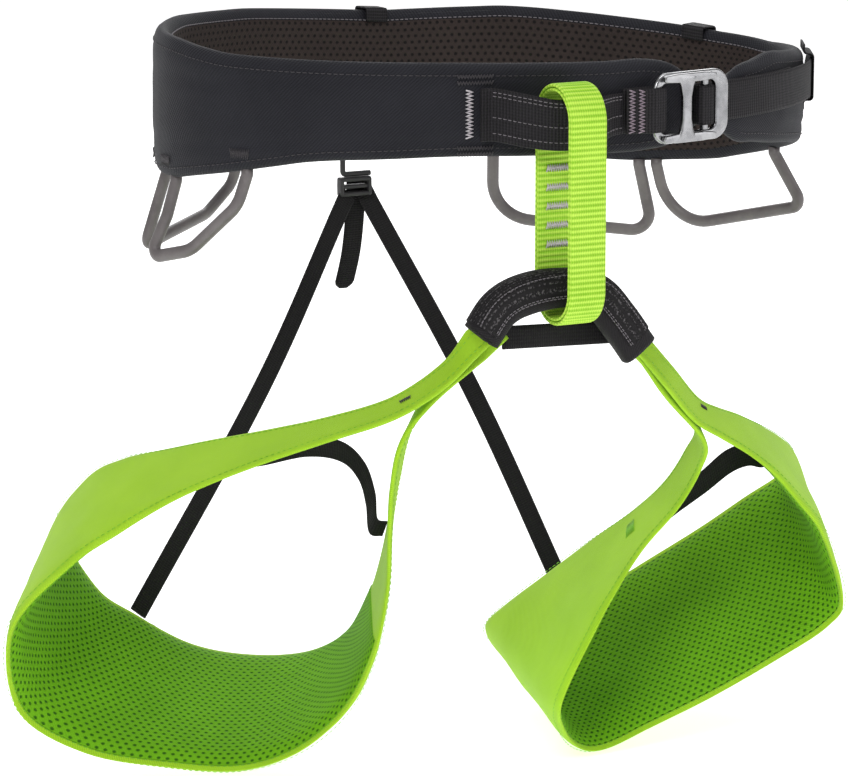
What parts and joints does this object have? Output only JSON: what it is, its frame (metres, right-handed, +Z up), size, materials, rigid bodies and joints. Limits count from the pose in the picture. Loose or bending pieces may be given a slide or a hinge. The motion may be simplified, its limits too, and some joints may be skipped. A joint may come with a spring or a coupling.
{
  "type": "climbing harness",
  "caption": "Sit harness for climbing: padded waist belt with buckle and gear loops, belay loop, and two padded leg loops hung on elastic rear risers.",
  "frame": {"origin": "centre of the waist opening on the wearer's centre plane, at the height of the belt's middle", "axes": "+X towards the wearer's left, +Y towards the wearer's back, +Z up"},
  "size_m": [0.4046, 0.2432, 0.3283],
  "materials": {
    "twill_black": "fine twill weave, matt",
    "mesh_black": "three-dimensional spacer mesh",
    "foam": "closed-cell foam, hidden",
    "webbing_black": "woven webbing",
    "sleeve_black": "woven abrasion sleeve with stitched seam",
    "webbing_green": "ribbed woven webbing",
    "fabric_green": "fine woven stretch fabric",
    "mesh_green": "perforated spacer mesh",
    "gear_plastic": "moulded flexible tube",
    "buckle_metal": "satin forged aluminium with bright bevels",
    "clip_plastic": "moulded nylon",
    "thread_light": "bar tack thread",
    "thread_dark": "bar tack thread",
    "elastic_black": "woven elastic"
  },
  "bodies": {
    "waist_belt": {"belt_cover": "twill_black", "belt_foam": "foam", "belt_mesh_liner": "mesh_black", "belt_load_webbing": "webbing_black", "rear_top_tab": "webbing_black", "side_top_tab": "webbing_black", "gear_loop_anchors": "webbing_black", "waist_tie_in_loop": "webbing_black", "waist_bartacks_light": "thread_light", "waist_bartacks_dark": "thread_dark", "buckle_anchor_webbing": "webbing_black", "buckle_frame": "buckle_metal", "waist_strap_fold": "webbing_black", "waist_strap_standing": "webbing_black", "strap_keeper": "elastic_black"},
    "buckle_slider": {"buckle_slider": "buckle_metal"},
    "waist_strap_tail": {"waist_strap_tail": "webbing_black"},
    "belay_loop": {"belay_loop_outer_layer": "webbing_green", "belay_loop_inner_layer": "webbing_green", "belay_loop_bartacks": "thread_light"},
    "leg_tie_in": {"tie_in_sleeve": "sleeve_black", "tie_in_core_webbing": "webbing_green", "leg_cross_strap": "webbing_black"},
    "rear_clip": {"rear_hook": "clip_plastic", "riser_lock": "clip_plastic"},
    "riser_right": {"riser_right": "elastic_black"},
    "riser_left": {"riser_left": "elastic_black"},
    "riser_tail": {"riser_tail": "elastic_black"},
    "gear_loop_front_right": {"gear_loop_front_right": "gear_plastic"},
    "gear_loop_rear_right": {"gear_loop_rear_right": "gear_plastic"},
    "gear_loop_rear_left": {"gear_loop_rear_left": "gear_plastic"},
    "gear_loop_front_left": {"gear_loop_front_left": "gear_plastic"},
    "leg_right": {"leg_cover_right": "fabric_green", "leg_foam_right": "foam", "leg_mesh_right": "mesh_green", "leg_front_webbing_right": "webbing_green", "leg_rear_webbing_right": "webbing_green", "leg_elastic_right": "elastic_black"},
    "leg_left": {"leg_cover_left": "fabric_green", "leg_foam_left": "foam", "leg_mesh_left": "mesh_green", "leg_front_webbing_left": "webbing_green", "leg_rear_webbing_left": "webbing_green", "leg_elastic_left": "elastic_black"}
  },
  "joints": [
    {"name": "belay_swing", "type": "hinge", "parent": "waist_belt", "child": "belay_loop", "pos_m": [-0.01, -0.1214, 0.0025], "axis": [-1, 0, 0], "range_deg": [0, 20]},
    {"name": "tie_in_level", "type": "hinge", "parent": "belay_loop", "child": "leg_tie_in", "pos_m": [-0.01, -0.12, -0.066], "axis": [-1, 0, 0], "range_deg": [-20, 0]},
    {"name": "leg_right_swing", "type": "hinge", "parent": "leg_tie_in", "child": "leg_right", "pos_m": [-0.05, -0.112, -0.086], "axis": [1, 0, 0], "range_deg": [0, 25]},
    {"name": "leg_left_swing", "type": "hinge", "parent": "leg_tie_in", "child": "leg_left", "pos_m": [0.033, -0.112, -0.098], "axis": [1, 0, 0], "range_deg": [0, 25]},
    {"name": "clip_swing", "type": "hinge", "parent": "waist_belt", "child": "rear_clip", "pos_m": [0.002, 0.1, -0.036], "axis": [-1, 0, 0], "range_deg": [0, 9]},
    {"name": "riser_right_swing", "type": "hinge", "parent": "rear_clip", "child": "riser_right", "pos_m": [-0.004, 0.099, -0.05], "axis": [1, 0, 0], "range_deg": [0, 8], "deforming": ["riser_right"]},
    {"name": "riser_left_swing", "type": "hinge", "parent": "rear_clip", "child": "riser_left", "pos_m": [0.008, 0.101, -0.05], "axis": [1, 0, 0], "range_deg": [0, 9.5], "deforming": ["riser_left"]},
    {"name": "riser_tail_swing", "type": "hinge", "parent": "rear_clip", "child": "riser_tail", "pos_m": [0.003, 0.1042, -0.052], "axis": [1, 0, 0], "range_deg": [0, 25]},
    {"name": "slider_tilt", "type": "hinge", "parent": "waist_belt", "child": "buckle_slider", "pos_m": [0.03928, -0.11346, 0.0045], "axis": [0, 0, -1], "range_deg": [0, 30]},
    {"name": "strap_run", "type": "hinge", "parent": "waist_belt", "child": "waist_strap_tail", "pos_m": [0.0431, 0.0342, 0.0045], "axis": [0, 0, 1], "range_deg": [0, 3]},
    {"name": "gear_front_right_lift", "type": "hinge", "parent": "waist_belt", "child": "gear_loop_front_right", "pos_m": [-0.12589, -0.01865, -0.02519], "axis": [-0.2709, 0.9489, -0.1622], "range_deg": [0, 40]},
    {"name": "gear_rear_right_lift", "type": "hinge", "parent": "waist_belt", "child": "gear_loop_rear_right", "pos_m": [-0.0934, 0.06085, -0.03256], "axis": [0.77, 0.636, -0.0513], "range_deg": [0, 40]},
    {"name": "gear_rear_left_lift", "type": "hinge", "parent": "waist_belt", "child": "gear_loop_rear_left", "pos_m": [0.10063, 0.07737, -0.04585], "axis": [0.8887, -0.456, -0.0482], "range_deg": [0, 40]},
    {"name": "gear_front_left_lift", "type": "hinge", "parent": "waist_belt", "child": "gear_loop_front_left", "pos_m": [0.14953, 0.02455, -0.04105], "axis": [0.3608, -0.917, 0.1701], "range_deg": [0, 40]}
  ],
  "couplings": [
    {"joint": "tie_in_level", "follows": "belay_swing", "ratio": -1},
    {"joint": "clip_swing", "follows": "belay_swing", "ratio": 0.43},
    {"joint": "riser_right_swing", "follows": "leg_right_swing", "ratio": 0.31},
    {"joint": "riser_left_swing", "follows": "leg_left_swing", "ratio": 0.366}
  ]
}
